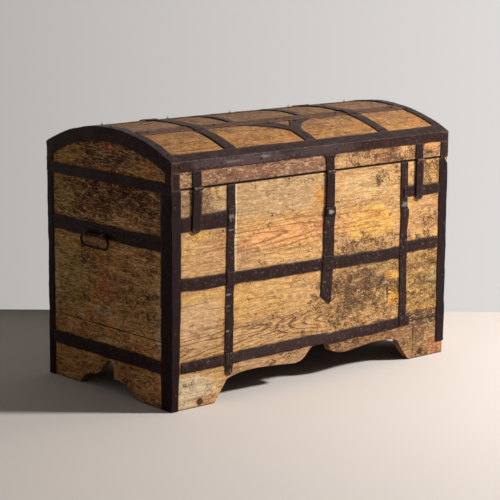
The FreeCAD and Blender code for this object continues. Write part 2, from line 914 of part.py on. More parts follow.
def left_nail(y, z):
    return nail(Vector(-half_length, y, z), Vector(-1, 0, 0))


def dome_nail(x, y, layers=1):
    z = dome_height(y, arc_radius + layers * iron)
    return nail(Vector(x, y, z), Vector(0, y, z - arc_z))


def band_centre(x, x_low, x_high, foot_low, foot_high, width):
    return foot_low + (foot_high - foot_low) * (x - x_low) / (x_high - x_low) + width / 2


def chest_nails():
    nails = []
    left_x = -half_length + front_leg
    right_x = half_length - front_leg
    left_strap_x = left_strap_share * half_length
    right_strap_x = right_strap_share * half_length
    lap_x = lap_share * half_length
    lower_end = lower_band_end_share * half_length
    for x in spread(left_x + nail_inset, right_strap_x - 2 * nail_inset, 7):
        if abs(x - left_strap_x) > left_strap_width and abs(x - lap_x) > lock_strap_width:
            nails.append(front_nail(x, band_centre(
                x, left_x, right_strap_x, middle_band_left, middle_band_right, band_width)))
    nails.append(front_nail(right_x - nail_inset, right_band_foot + band_width / 2))
    for x in spread(left_x + nail_inset, lap_x - nail_inset, 5):
        if abs(x - left_strap_x) > left_strap_width:
            nails.append(front_nail(x, band_centre(
                x, left_x, lap_x, lower_band_left, lower_band_lap, lower_band_width)))
    for x in spread(lap_x + nail_inset, lower_end - nail_inset, 4):
        if abs(x - right_strap_x) > right_strap_width:
            nails.append(front_nail(x, band_centre(
                x, lap_x, lower_end, lower_band_right_start, lower_band_right, lower_band_width)))
    short_z = short_band_foot + short_band_height / 2
    nails.append(front_nail(left_strap_x, short_z, 2))
    nails.append(front_nail(left_strap_x - 3 * nail_inset, short_z))
    nails.append(front_nail(right_strap_x, right_short_foot + right_short_height / 2, 2))
    for down_share in strap_nail_share:
        z = rim_height - down_share * (rim_height - left_strap_end)
        nails.append(front_nail(left_strap_x + down_share * left_strap_lean, z))
        nails.append(front_nail(right_strap_x, z))
    lock_x = lock_strap_share * half_length
    nails.append(front_nail(lock_x + lock_strap_lean / 2, front_board_seam + 3 * band_width))
    nails.append(front_nail(lock_x + lock_strap_lean, lock_strap_foot + 2 * nail_inset))
    for side in (-1, 1):
        foot = (right_iron_foot if side > 0 else 0) + 3 * nail_inset
        for z in spread(foot, rim_height - 3 * nail_inset, 4):
            nails.append(front_nail(side * (half_length - front_leg_foot / 2), z))
            nails.append(back_nail(side * (half_length - back_leg / 2), z))
    ends = []
    for y in spread(-half_depth + front_end_leg + nail_inset, half_depth - back_end_leg - nail_inset, 4):
        ends.append(left_nail(y, end_middle_band + end_middle_width / 2))
        ends.append(left_nail(y, end_lower_band + end_lower_width / 2))
    # The ends' corner nails sit between the heights of those on the front and the back
    for z in spread(right_iron_foot + 5 * nail_inset, rim_height - 5 * nail_inset, 3):
        ends.append(left_nail(-half_depth + front_end_leg - nail_inset, z))
        ends.append(left_nail(half_depth - back_end_leg / 2, z))
    nails += ends + [to_right(one) for one in ends]
    for x in spread(-half_length + back_leg + nail_inset, half_length - back_leg - nail_inset, 6):
        nails.append(back_nail(x, lower_band_left + lower_band_width / 2))
        nails.append(back_nail(x, middle_band_left + band_width / 2))
    for x in (left_hinge_x, right_hinge_x):
        for z in spread(leaf_foot, rim_height - 2 * nail_inset, 3):
            nails.append(back_nail(x, z))
    return nails


def lid_nails():
    nails = []
    edge_mid = (edge_foot + edge_z) / 2
    reach = lid_wood_x - arch_top_leg / 2
    end_x = half_length - 2 * nail_inset
    dome_y = wood_y - edge_top_leg - nail_inset
    arm_x = fork_notch_half + nail_inset
    arm_y = ridge_inner + ridge_width + nail_head_radius + iron
    for x in spread(-end_x, end_x, 8):
        nails.append(front_nail(x, edge_mid))
    for x in spread(-end_x, end_x, 7):
        nails.append(back_nail(x, edge_mid))
    for side in (-1, 1):
        for y in spread(-wood_y + 2 * nail_inset, wood_y - 2 * nail_inset, 5):
            nails.append(dome_nail(side * reach, y))
        for x in spread(-reach + 3 * nail_inset, reach - 3 * nail_inset, 5):
            nails.append(dome_nail(x, side * (ridge_inner + ridge_width / 2)))
        nails.append(dome_nail(0, side * dome_y))
        for arm in (-arm_x, arm_x):
            nails.append(dome_nail(arm, side * arm_y))
        for y in spread(-half_depth + 2 * nail_inset, half_depth - 2 * nail_inset, 4):
            point = Vector(side * (lid_wood_x + iron), y, rim_band_top - nail_inset / 2)
            nails.append(nail(point, Vector(side, 0, 0)))
    for share in (left_lid_strap_front_share, right_lid_strap_front_share):
        nails.append(dome_nail(share * half_length, -dome_y))
    for x in (left_hinge_x, right_hinge_x):
        nails.append(dome_nail(x, dome_y))
        nails.append(back_nail(x, edge_foot - nail_inset))
    for share in (left_hasp_share, centre_hasp_share, right_hasp_share):
        nails.append(front_nail(share * half_length, edge_foot - nail_inset))
    return nails


def foot_pegs():
    pegs = []
    for across, up in (left_peg_share, right_peg_share):
        start = Vector(across * half_length, -wood_y - iron / 2, up * skirt_height)
        pegs.append(Part.makeCylinder(peg_radius, peg_length, start, Vector(0, 1, 0)))
    return grouped(pegs)


# Assembly: what is driven or let into a piece is cut out of it


def near(shape, others):
    own = shape.BoundBox
    return [other for other in others if own.intersect(other.BoundBox)]


def let_in(pieces, names, tools):
    for name in names:
        touching = near(pieces[name], tools)
        if touching:
            pieces[name] = pieces[name].cut(touching)


def build():
    chest = wall_boards()
    chest.update(bottom_pieces())
    chest.update(corner_irons())
    strips = front_strips()
    bands = {name: front_plate(strip_outline(strip)) for name, strip in strips.items()}
    chest.update(front_straps(strips))
    chest["front_middle_band"] = bands["middle"]
    chest["front_lower_band"] = grouped([bands["lower_left"], bands["lower_right"]])
    chest["front_short_bands"] = grouped([bands["short_left"], bands["short_right"], bands["right"]])
    left_bands = end_bands()
    chest["left_end_bands"] = left_bands
    chest["right_end_bands"] = to_right(left_bands)
    chest["back_bands"] = back_bands()
    chest["hinge_leaves"] = grouped([hinge_leaf(left_hinge_x), hinge_leaf(right_hinge_x)])
    ring, eye = left_handle_parts()
    eyes = [eye, to_right(eye)]
    nails = chest_nails()
    pegs = foot_pegs()
    let_in(chest, list(chest), nails + eyes + pegs.Solids)
    lid = lid_boards()
    lid.update(lid_irons())
    hasps = hasp_sets()
    lid["hasp_hangers"] = hasps["hasp_hangers"]
    driven = lid_nails()
    let_in(lid, list(lid), driven)
    pieces = {}
    pieces.update(chest)
    pieces["hinge_pins"] = grouped([hinge_pin(left_hinge_x), hinge_pin(right_hinge_x)])
    pieces["handle_staples"] = grouped(eyes)
    pieces["chest_nails"] = grouped(nails)
    pieces["foot_pegs"] = pegs
    pieces.update(lid)
    pieces["lid_nails"] = grouped(driven)
    for name in ("hasp_pins", "left_hasp", "centre_hasp", "right_hasp"):
        pieces[name] = hasps[name]
    pieces["left_handle"] = ring
    pieces["right_handle"] = to_right(ring)
    return pieces


os.makedirs("parts", exist_ok=True)
for name, shape in build().items():
    shape.exportStep("parts/" + name + ".step")
    print(name, len(shape.Solids), round(shape.Volume), shape.isValid())
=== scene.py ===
"""The looks of an old iron-bound chest: worn painted pine boards under hand-forged iron bands."""

import json
import math

import bmesh
import bpy
from mathutils import Matrix, Vector, noise

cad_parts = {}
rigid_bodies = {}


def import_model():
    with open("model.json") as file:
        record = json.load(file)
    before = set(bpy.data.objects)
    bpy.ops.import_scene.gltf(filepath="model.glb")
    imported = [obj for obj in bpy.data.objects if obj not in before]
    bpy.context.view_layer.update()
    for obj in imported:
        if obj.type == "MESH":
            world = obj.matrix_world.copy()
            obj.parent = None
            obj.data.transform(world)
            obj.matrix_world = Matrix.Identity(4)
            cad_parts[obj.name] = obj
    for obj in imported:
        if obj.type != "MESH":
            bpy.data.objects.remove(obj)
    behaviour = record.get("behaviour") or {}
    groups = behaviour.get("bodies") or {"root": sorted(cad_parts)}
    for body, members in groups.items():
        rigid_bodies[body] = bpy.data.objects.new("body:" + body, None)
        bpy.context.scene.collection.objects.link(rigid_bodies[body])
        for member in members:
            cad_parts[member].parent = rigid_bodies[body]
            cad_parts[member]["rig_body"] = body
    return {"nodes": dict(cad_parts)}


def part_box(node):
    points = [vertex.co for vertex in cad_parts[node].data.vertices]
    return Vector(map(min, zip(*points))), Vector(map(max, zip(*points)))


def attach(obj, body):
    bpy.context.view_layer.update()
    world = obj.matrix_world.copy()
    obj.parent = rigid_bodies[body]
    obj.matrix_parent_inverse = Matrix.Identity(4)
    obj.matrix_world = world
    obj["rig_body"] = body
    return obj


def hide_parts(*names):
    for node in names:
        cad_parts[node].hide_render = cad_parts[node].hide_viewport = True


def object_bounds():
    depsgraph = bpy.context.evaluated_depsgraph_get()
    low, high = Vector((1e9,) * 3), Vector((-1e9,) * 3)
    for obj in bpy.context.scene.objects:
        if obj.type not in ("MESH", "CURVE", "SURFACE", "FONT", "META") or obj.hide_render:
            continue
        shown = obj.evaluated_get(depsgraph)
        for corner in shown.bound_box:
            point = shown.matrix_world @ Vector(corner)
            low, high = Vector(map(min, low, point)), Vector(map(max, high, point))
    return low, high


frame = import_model()
cad_box = [list(corner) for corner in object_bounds()]

mm = 0.001


# The camera, at the photograph's viewing angle

camera_place = Vector((-3.7507, -4.2856, 1.4602))
camera_yaw, camera_pitch, camera_roll = 0.71796, 0.19104, 0.00557
camera_lens, camera_sensor, camera_clip = 134.03, 36, 100
ahead = Vector((math.sin(camera_yaw) * math.cos(camera_pitch),
                math.cos(camera_yaw) * math.cos(camera_pitch), -math.sin(camera_pitch)))


def photograph_camera():
    level = Vector((math.cos(camera_yaw), -math.sin(camera_yaw), 0))
    upright = level.cross(ahead)
    right = math.cos(camera_roll) * level + math.sin(camera_roll) * upright
    up = math.cos(camera_roll) * upright - math.sin(camera_roll) * level
    data = bpy.data.cameras.new("camera")
    data.sensor_width = camera_sensor
    data.lens = camera_lens
    data.clip_end = camera_clip
    camera = bpy.data.objects.new("camera", data)
    turn = Matrix((right, up, -ahead)).transposed().to_4x4()
    camera.matrix_world = Matrix.Translation(camera_place) @ turn
    bpy.context.scene.collection.objects.link(camera)
    bpy.context.scene.camera = camera


photograph_camera()


# Colours and material trees

def colour(code):
    """An sRGB hex colour as linear light."""
    parts = [int(code[i:i + 2], 16) / 255 for i in (1, 3, 5)]
    return [c / 12.92 if c <= 0.04045 else ((c + 0.055) / 1.055) ** 2.4 for c in parts] + [1.0]


def add(tree, kind, inputs, **settings):
    """Adds a node with its settings, and gives its inputs values or links."""
    node = tree.nodes.new(kind)
    for key, value in settings.items():
        setattr(node, key, value)
    for key, value in inputs.items():
        if isinstance(value, bpy.types.NodeSocket):
            tree.links.new(value, node.inputs[key])
        else:
            node.inputs[key].default_value = value
    return node


def new_material(name):
    material = bpy.data.materials.new(name)
    material.use_nodes = True
    material.node_tree.nodes.clear()
    return material, material.node_tree


def millimetres(tree):
    """The piece's own coordinates in millimetres."""
    place = add(tree, "ShaderNodeTexCoord", {}).outputs["Object"]
    return add(tree, "ShaderNodeVectorMath", {0: place, "Scale": 1 / mm}, operation="SCALE").outputs[0]


def blotches(tree, place, size, low, high, detail, rough, shift=0.0, stretch=(1, 1, 1)):
    """Ragged patches of about that size in mm: 1 inside, 0 outside, with a soft edge from low to high."""
    moved = add(tree, "ShaderNodeMapping",
                {"Vector": place, "Location": (shift, -shift, shift * 0.7), "Scale": stretch}).outputs[0]
    cloud = add(tree, "ShaderNodeTexNoise", {"Vector": moved, "Scale": 1 / size, "Detail": detail,
                                             "Roughness": rough}).outputs[0]
    return add(tree, "ShaderNodeMapRange", {"Value": cloud, "From Min": low, "From Max": high},
               interpolation_type="SMOOTHSTEP").outputs[0]


def spot(tree, place, centre, reach, ragged, bite=1.3):
    """A worn place with a ragged edge: centre and reach in mm, ragged is the cloud that eats its edge."""
    local = add(tree, "ShaderNodeMapping", {"Vector": place, "Location": centre, "Scale": reach},
                vector_type="TEXTURE").outputs[0]
    ball = add(tree, "ShaderNodeTexGradient", {"Vector": local}, gradient_type="SPHERICAL").outputs[1]
    eaten = add(tree, "ShaderNodeMath", {0: ragged, 1: -bite, 2: ball}, operation="MULTIPLY_ADD").outputs[0]
    return add(tree, "ShaderNodeMapRange",
               {"Value": eaten, "From Min": 0.2 - bite / 2, "From Max": 0.5 - bite / 2},
               interpolation_type="SMOOTHSTEP").outputs[0]


def lay(tree, face, cover, strength, coat):
    """Lays a coat over the face: full where cover is 1, and thinned to that strength."""
    thinned = add(tree, "ShaderNodeMath", {0: cover, 1: strength}, operation="MULTIPLY").outputs[0]
    return add(tree, "ShaderNodeMix", {0: thinned, 6: face, 7: colour(coat)}, data_type="RGBA").outputs[2]


# Planes that stains and marks are centred on, in mm, and how far they reach through

# The left end's plane lies a little outside its boards, and the seam's painted shadow line a little above
# the gap
band_thick, knob_rise, end_rise, seam_rise = 3, 12, 10, 1.5
front_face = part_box("front_upper_board")[0].y / mm
band_face = front_face - band_thick
knob_face = front_face - knob_rise
end_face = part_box("left_end_upper_board")[0].x / mm - end_rise
seam_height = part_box("lid_front_rail")[0].z / mm + seam_rise
stain_reach, mark_reach = 60, 12


def on_front(rows, y=front_face, through=stain_reach):
    """Rows of x, z, half width, half height and the rest, as centres and reaches on the front."""
    return [((x, y, z), (wide, through, high), *rest) for x, z, wide, high, *rest in rows]


def on_end(rows):
    """Rows of y, z, half width, half height and the rest, as centres and reaches on the left end."""
    return [((end_face, y, z), (stain_reach, wide, high), *rest) for y, z, wide, high, *rest in rows]


# Worn painted pine

# Clouds, streaks and pits are drawn out along the boards: a share of 0.5 makes them twice as long
cloud_share, streak_share, pit_share = 0.45, 0.28, 0.7
# The grain wanders by up to half of this, in mm
drift = 26
# At scale 1 the wave texture has a ring after each such length
wave_step = 0.314
# A brush stroke is this many times as long as it is wide
stroke_length = 16
# Where the pits are taken from in their noise, in mm
pit_shift = (77, -77, 54)


def year_rings(tree, place, bent, ragged, face, heart, tilt, length, spacing, stain):
    """Year rings cut slantwise: dark late wood in long loops about a heart, within one stain."""
    centre, reach, coat, strength = stain
    local = add(tree, "ShaderNodeMapping",
                {"Vector": bent, "Location": tuple(c + drift / 2 for c in heart), "Rotation": (0, tilt, 0),
                 "Scale": (length, 1, 1)}, vector_type="TEXTURE").outputs[0]
    wave = add(tree, "ShaderNodeTexWave",
               {"Vector": local, "Scale": wave_step / spacing, "Distortion": 1.5, "Detail": 2.0,
                "Detail Scale": 0.02}, wave_type="RINGS", rings_direction="SPHERICAL").outputs[1]
    late = add(tree, "ShaderNodeMapRange", {"Value": wave, "From Min": 0.74, "From Max": 0.96}).outputs[0]
    within = spot(tree, place, centre, reach, ragged, bite=0.5)
    cover = add(tree, "ShaderNodeMath", {0: late, 1: within}, operation="MULTIPLY").outputs[0]
    return lay(tree, face, cover, strength, coat)


def brush_stroke(tree, place, face, tilt, stretch, strength, coat):
    """Dry strokes of a coarse brush, 5 mm wide, at that tilt to the boards."""
    tilted = add(tree, "ShaderNodeMapping", {"Vector": place, "Rotation": (tilt, 0, 0), "Scale": stretch},
                 vector_type="TEXTURE").outputs[0]
    stroke = add(tree, "ShaderNodeTexNoise", {"Vector": tilted, "Scale": 1 / 5.0, "Detail": 1.0}).outputs[0]
    stroke = add(tree, "ShaderNodeMapRange",
                 {"Value": stroke, "From Min": 0.61, "From Max": 0.68}).outputs[0]
    return lay(tree, face, stroke, strength, coat)


def pitted(tree, place, ragged, stretch, grimes):
    """How deep dirt sits in the wood: specks of 4 mm that crowd in clouds, and most under grime.

    Real pits are about 1 mm wide: here they are 4 mm, so that they show.
    """
    thick = add(tree, "ShaderNodeMath",
                {0: blotches(tree, place, size=75.0, low=0.42, high=0.62, detail=5, rough=0.6, shift=530),
                 1: 0.4}, operation="MULTIPLY").outputs[0]
    for centre, reach, strength in grimes:
        grime = add(tree, "ShaderNodeMath",
                    {0: spot(tree, place, centre, reach, ragged, bite=1.6), 1: strength},
                    operation="MULTIPLY").outputs[0]
        thick = add(tree, "ShaderNodeMath", {0: thick, 1: grime}, operation="MAXIMUM").outputs[0]
    drawn = add(tree, "ShaderNodeMapping",
                {"Vector": place, "Location": pit_shift, "Scale": stretch}).outputs[0]
    crowd = add(tree, "ShaderNodeTexNoise", {"Vector": drawn, "Scale": 1 / 24.0, "Detail": 4.0,
                                             "Roughness": 0.65}).outputs[0]
    speck = add(tree, "ShaderNodeTexNoise", {"Vector": drawn, "Scale": 1 / 4.0, "Detail": 3.0,
                                             "Roughness": 0.7}).outputs[0]
    pits = add(tree, "ShaderNodeMath", {0: crowd, 1: 0.8, 2: speck}, operation="MULTIPLY_ADD").outputs[0]
    return add(tree, "ShaderNodeMath", {0: thick, 1: 0.15, 2: pits}, operation="MULTIPLY_ADD").outputs[0]


def painted_seam_shadow(tree, place, face):
    """A painted shadow of the gap under the lid, with some grime in the joint: a dark line with a soft edge
    2.5 to 4.5 mm from its middle.
    """
    height = add(tree, "ShaderNodeSeparateXYZ", {0: place}).outputs[2]
    apart = add(tree, "ShaderNodeMath", {0: height, 1: seam_height}, operation="SUBTRACT").outputs[0]
    apart = add(tree, "ShaderNodeMath", {0: apart}, operation="ABSOLUTE").outputs[0]
    gap = add(tree, "ShaderNodeMapRange", {"Value": apart, "From Min": 4.5, "From Max": 2.5}).outputs[0]
    return lay(tree, face, gap, 1.0, "#0C0603")


def worn_pine(name, tints, dark, light, grain=26.0, along_y=False, specks=0.8, chips=0.35, lines=0.35,
              dirt=0.25, dust="#7A5430", seam=False, stains=(), grimes=(), figures=(), strokes=()):
    """Pine boards under old distemper: sawn and planed by hand, painted, then worn back to the wood.

    The paint is dull and chalky and changes tint in soft clouds, the grain shows through it as fine
    lines along the board, dirt sits in its pits as dark specks, and the last thick paint stands as
    pale chips.
    """
    def along(share):
        return (1, share, 1) if along_y else (share, 1, 1)

    material, tree = new_material(name)
    place = millimetres(tree)
    short, streak, fine = along(cloud_share), along(streak_share), along(1 / grain)
    slow = add(tree, "ShaderNodeMapping", {"Vector": place, "Scale": along(cloud_share ** 2)}).outputs[0]
    wander = add(tree, "ShaderNodeTexNoise", {"Vector": slow, "Scale": 1 / 60.0, "Detail": 2.0}).outputs[1]
    bent = add(tree, "ShaderNodeVectorMath", {0: wander, 1: (drift, drift, drift), 2: place},
               operation="MULTIPLY_ADD").outputs[0]
    ragged = add(tree, "ShaderNodeTexNoise", {"Vector": place, "Scale": 1 / 26.0, "Detail": 7.0,
                                              "Roughness": 0.75}).outputs[0]

    # The paint in soft clouds of three tints, and its stains over them
    cloud = blotches(tree, place, size=120.0, low=0.42, high=0.58, detail=7, rough=0.7, shift=150,
                     stretch=short)
    patch = blotches(tree, place, size=50.0, low=0.48, high=0.62, detail=7, rough=0.72, shift=900,
                     stretch=short)
    face = lay(tree, colour(tints[0]), cloud, 1.0, tints[1])
    face = lay(tree, face, patch, 0.85, tints[2])
    for centre, reach, coat, strength, *bite in stains:
        face = lay(tree, face, spot(tree, place, centre, reach, ragged, *bite), strength, coat)

    # Real fibres are about 1 mm wide: here they are 4 to 7 mm, so that they show
    shade = blotches(tree, place, size=24.0, low=0.44, high=0.66, detail=7, rough=0.75, shift=640,
                     stretch=short)
    fibre = blotches(tree, bent, size=4.0, low=0.42, high=0.60, detail=3, rough=0.6, stretch=fine)
    line = blotches(tree, bent, size=7.0, low=0.54, high=0.60, detail=4, rough=0.65, shift=311,
                    stretch=fine)
    face = lay(tree, face, shade, dirt, dark)
    face = lay(tree, face, fibre, lines / 2, dark)
    face = lay(tree, face, line, lines, dark)
    for figure in figures:
        face = year_rings(tree, place, bent, ragged, face, *figure)

    # What is left of the thick paint: chips and dry strokes
    chip = blotches(tree, place, size=9.0, low=0.55, high=0.62, detail=6, rough=0.75, shift=1300,
                    stretch=short)
    face = lay(tree, face, chip, chips, light)
    for tilt, strength in strokes:
        face = brush_stroke(tree, place, face, tilt, along(stroke_length), strength, light)

    # Soot and grit over all, and dirt in the pits
    depth = pitted(tree, place, ragged, along(pit_share), grimes)
    shallow = add(tree, "ShaderNodeMapRange",
                  {"Value": depth, "From Min": 1.0, "From Max": 1.08}).outputs[0]
    pit = add(tree, "ShaderNodeMapRange", {"Value": depth, "From Min": 1.08, "From Max": 1.15}).outputs[0]
    soot = blotches(tree, place, size=4.5, low=0.50, high=0.34, detail=3, rough=0.6, shift=2100,
                    stretch=streak)
    grit = blotches(tree, place, size=4.5, low=0.50, high=0.66, detail=3, rough=0.6, shift=2100,
                    stretch=streak)
    face = lay(tree, face, soot, 0.25, dust)
    face = lay(tree, face, grit, 0.32, light)
    face = lay(tree, face, shallow, 0.55, dust)
    face = lay(tree, face, pit, specks, dark)

    # Old dirt and painted shade in the nooks beside the irons: darker where ambient occlusion finds the
    # irons close
    open_air = add(tree, "ShaderNodeAmbientOcclusion", {"Distance": 7 * mm}, samples=8).outputs[1]
    nook_dirt_and_shade = add(tree, "ShaderNodeMapRange",
               {"Value": open_air, "From Min": 0.92, "From Max": 0.60}).outputs[0]
    face = lay(tree, face, nook_dirt_and_shade, 0.7, dark)
    # The gap under the lid as a painted shadow line
    if seam:
        face = painted_seam_shadow(tree, place, face)

    height = add(tree, "ShaderNodeMath", {0: line, 1: -0.7, 2: chip}, operation="MULTIPLY_ADD").outputs[0]
    height = add(tree, "ShaderNodeMath", {0: pit, 1: -0.8, 2: height}, operation="MULTIPLY_ADD").outputs[0]
    bump = add(tree, "ShaderNodeBump", {"Height": height, "Strength": 0.5, "Distance": 0.8 * mm}).outputs[0]
    rough = add(tree, "ShaderNodeMapRange", {"Value": patch, "To Min": 0.85, "To Max": 0.68}).outputs[0]
    shader = add(tree, "ShaderNodeBsdfPrincipled", {"Base Color": face, "Roughness": rough, "Normal": bump,
                                                    "IOR": 1.45, "Specular IOR Level": 0.25})
    add(tree, "ShaderNodeOutputMaterial", {"Surface": shader.outputs[0]})
    return material


# Forged iron

def forged_iron(name, skin, rub, rust, edge, rub_cover=0.6, rust_cover=0.4, metal=0.15, dull=0.48,
                marks=()):
    """Wrought iron strip: hammered flat, blackened by the fire, then rusted and rubbed by hands.

    The skin is dark brown with a dull sheen, edges and high places are rubbed lighter, and the keen edges
    carry a painted highlight as well. Rust sits in patches. Marks are scraped places, bright with bare
    iron, or painted highlights on bumps and knobs.
    """
    material, tree = new_material(name)
    place = millimetres(tree)
    # Hammer dents about 16 mm apart, and fire scale in flakes of 3 mm
    dents = add(tree, "ShaderNodeTexNoise", {"Vector": place, "Scale": 1 / 16.0, "Detail": 3.0}).outputs[0]
    scale = add(tree, "ShaderNodeTexNoise", {"Vector": place, "Scale": 1 / 3.0, "Detail": 4.0,
                                             "Roughness": 0.7}).outputs[0]
    ragged = add(tree, "ShaderNodeTexNoise", {"Vector": place, "Scale": 1 / 9.0, "Detail": 6.0,
                                              "Roughness": 0.8}).outputs[0]
    worn = blotches(tree, place, size=20.0, low=0.47, high=0.66, detail=7, rough=0.75, shift=40)
    rusty = blotches(tree, place, size=45.0, low=0.48, high=0.64, detail=7, rough=0.72, shift=810)
    # Keen edges are rubbed lighter, and the same lighter colour is a painted highlight along them
    keen = add(tree, "ShaderNodeNewGeometry", {}).outputs["Pointiness"]
    keen = add(tree, "ShaderNodeMapRange", {"Value": keen, "From Min": 0.515, "From Max": 0.59}).outputs[0]
    face = lay(tree, colour(skin), rusty, rust_cover, rust)
    face = lay(tree, face, worn, rub_cover, rub)
    face = lay(tree, face, keen, 0.8, edge)
    # Scraped places, and painted highlights where a mark stands for light on a bump
    for centre, reach, bare, strength in marks:
        face = lay(tree, face, spot(tree, place, centre, reach, ragged, bite=2.2), strength, bare)
    height = add(tree, "ShaderNodeMath", {0: scale, 1: 0.35, 2: dents}, operation="MULTIPLY_ADD").outputs[0]
    bump = add(tree, "ShaderNodeBump", {"Height": height, "Strength": 0.6, "Distance": 1.4 * mm}).outputs[0]
    rough = add(tree, "ShaderNodeMapRange",
                {"Value": worn, "To Min": dull, "To Max": dull - 0.12}).outputs[0]
    metallic = add(tree, "ShaderNodeMapRange",
                   {"Value": rusty, "To Min": metal, "To Max": metal * 0.4}).outputs[0]
    shader = add(tree, "ShaderNodeBsdfPrincipled", {"Base Color": face, "Roughness": rough, "Normal": bump,
                                                    "Metallic": metallic, "Specular IOR Level": 0.14})
    add(tree, "ShaderNodeOutputMaterial", {"Surface": shader.outputs[0]})
    return material


# Painted pine of the front: ochre and cream distemper, sooty towards the right. It looks warm and chalky

# Rows of x, z, half width and half height in mm, then colour, strength and how deep the edge is eaten
front_stains = [
    # Upper board: grey under the lid, orange along the year rings, ochre beside the right strap
    (-180, 590, 420, 90, "#C09C70", 0.8),
    (200, 560, 300, 160, "#C6945A", 0.8),
    (-150, 470, 280, 46, "#E8A464", 0.8),
    (-90, 405, 220, 40, "#DDA966", 0.6),
    (130, 470, 110, 60, "#E0A060", 0.6),
    (230, 460, 150, 90, "#E0AC4E", 0.9),
    (200, 580, 170, 60, "#D2AC74", 0.7),
    (10, 568, 34, 40, "#E0963C", 0.9),
    (-440, 500, 60, 14, "#D9A033", 0.9),
    (-455, 580, 90, 80, "#846448", 0.9),
    # Lower board, left and middle: cream and rose
    (-460, 250, 120, 110, "#D4A87E", 0.7),
    (-460, 320, 90, 26, "#D2A355", 0.6),
    (-280, 290, 90, 60, "#DDA85C", 0.7),
    (-60, 290, 110, 60, "#C69565", 0.5),
    (-190, 190, 260, 56, "#D8A66A", 0.5),
    # Lower board, right: soot, and ochre that is left between it
    (200, 240, 330, 220, "#BE8E54", 0.9),
    (190, 300, 240, 60, "#A67E50", 0.7),
    (140, 268, 140, 26, "#63442C", 0.75),
    (265, 266, 110, 26, "#5C3E28", 0.8),
    (325, 246, 60, 24, "#5C3E28", 0.7),
    (170, 217, 110, 44, "#80603E", 0.7),
    (470, 240, 170, 220, "#B4863E", 0.9),
    (505, 250, 60, 50, "#9A8A54", 0.7),
    (470, 240, 110, 10, "#5A3C22", 0.7),
    (470, 300, 150, 14, "#7A5434", 0.7),
    (480, 158, 110, 18, "#D9A33A", 0.9),
    (325, 284, 50, 26, "#DDA23A", 0.8),
    (325, 217, 52, 44, "#DA952F", 0.85),
    (302, 226, 7, 50, "#24140B", 1.0),
    (312, 231, 8, 8, "#FFF0B0", 0.9),
    # Bare new wood at the wide middle strap's broken tip, and a pale line beside the left strap's lit right
    # edge: painted highlight
    (12, 266, 14, 20, "#F2D8AC", 0.7),
    (-321, 520, 7, 220, "#F4E2BC", 0.7),
    # Feet and apron, with rust along the lower band's right end
    (-490, 50, 130, 70, "#DEC8A4", 0.85),
    (-440, 18, 60, 20, "#C98B52", 0.8),
    (470, 60, 180, 160, "#946A3E", 0.9),
    (520, 26, 120, 44, "#A8603A", 0.65),
    (480, 130, 240, 36, "#4E281A", 0.95, 0.5),
    (450, 120, 200, 22, "#341B12", 0.85, 0.7),
    (195, 92, 60, 24, "#B0583A", 0.6),
    (200, 90, 420, 70, "#855735", 0.9),
    (-180, 90, 300, 50, "#B88A60", 0.8),
    (30, 90, 50, 50, "#5E3E28", 0.8),
    # The small panels behind the outer hasps
    (490, 590, 110, 90, "#CA9349", 0.8),
    (480, 470, 110, 110, "#C08C5A", 0.8),
    (-480, 590, 120, 110, "#9A7656", 0.8),
]
front_grimes = [
    (230, 400, 200, 40, 1.0),
    (300, 600, 120, 50, 0.9),
    (-120, 620, 160, 26, 0.7),
    (200, 245, 340, 260, 1.1),
    (170, 280, 260, 60, 1.3),
    (470, 250, 160, 260, 1.1),
    (200, 395, 200, 44, 1.2),
    (180, 90, 300, 60, 1.1),
    (-150, 92, 160, 36, 0.6),
    (490, 600, 90, 80, 1.25),
    (490, 440, 80, 60, 0.8),
    (-480, 50, 130, 70, 0.4),
    (470, 60, 130, 90, 0.9),
    (-450, 600, 70, 60, 0.8),
]
# Year rings: heart x and z, tilt, length of the loops, ring spacing in mm, and where they show
front_rings = [
    (-345, 463, -0.04, 12, 12.0, (-150, 468, 420, 84, "#9C4E24", 0.8)),
    (-700, 150, -0.10, 16, 9.0, (-380, 182, 480, 70, "#5C2E16", 0.8)),
    (-230, 202, -0.06, 11, 8.0, (-230, 196, 260, 50, "#5C2E16", 0.75)),
    (80, 188, 0.0, 6, 9.0, (-70, 188, 170, 64, "#5C2E16", 0.85)),
    (-60, 478, -0.05, 16, 13.0, (150, 480, 300, 70, "#A85C2C", 0.7)),
]
front_pine = worn_pine(
    "worn_painted_pine_front", ("#CB9B66", "#D5A25B", "#C28A54"), "#39241A", "#F0D4A2", seam=True,
    stains=on_front(front_stains), grimes=on_front(front_grimes),
    figures=[((x, front_face, z), tilt, length, spacing, on_front([where])[0])
             for x, z, tilt, length, spacing, where in front_rings])

# Painted pine of the lid's front rail: brown and rose distemper, darkened by the hands that lift the lid
rail_stains = [
    (-290, 668, 560, 130, "#825846", 0.9),
    (-490, 668, 60, 60, "#B08A60", 0.8),
    (160, 665, 150, 30, "#CDA068", 0.6),
    (300, 666, 90, 40, "#8A5430", 0.8),
    (330, 650, 60, 20, "#4E2C1C", 0.8),
    (-180, 690, 140, 24, "#6E4438", 0.8),
    (370, 668, 30, 30, "#E0B070", 0.8),
    (480, 675, 40, 26, "#E29A5C", 0.9),
]
rail_grimes = [(300, 665, 400, 60, 1.0), (-300, 668, 300, 60, 0.7), (-500, 668, 60, 60, 1.0)]
rail_pine = worn_pine(
    "worn_painted_pine_lid_rail", ("#BC8A5A", "#C6945C", "#A87248"), "#39241A", "#EAC89C", chips=0.42,
    seam=True, stains=on_front(rail_stains), grimes=on_front(rail_grimes))
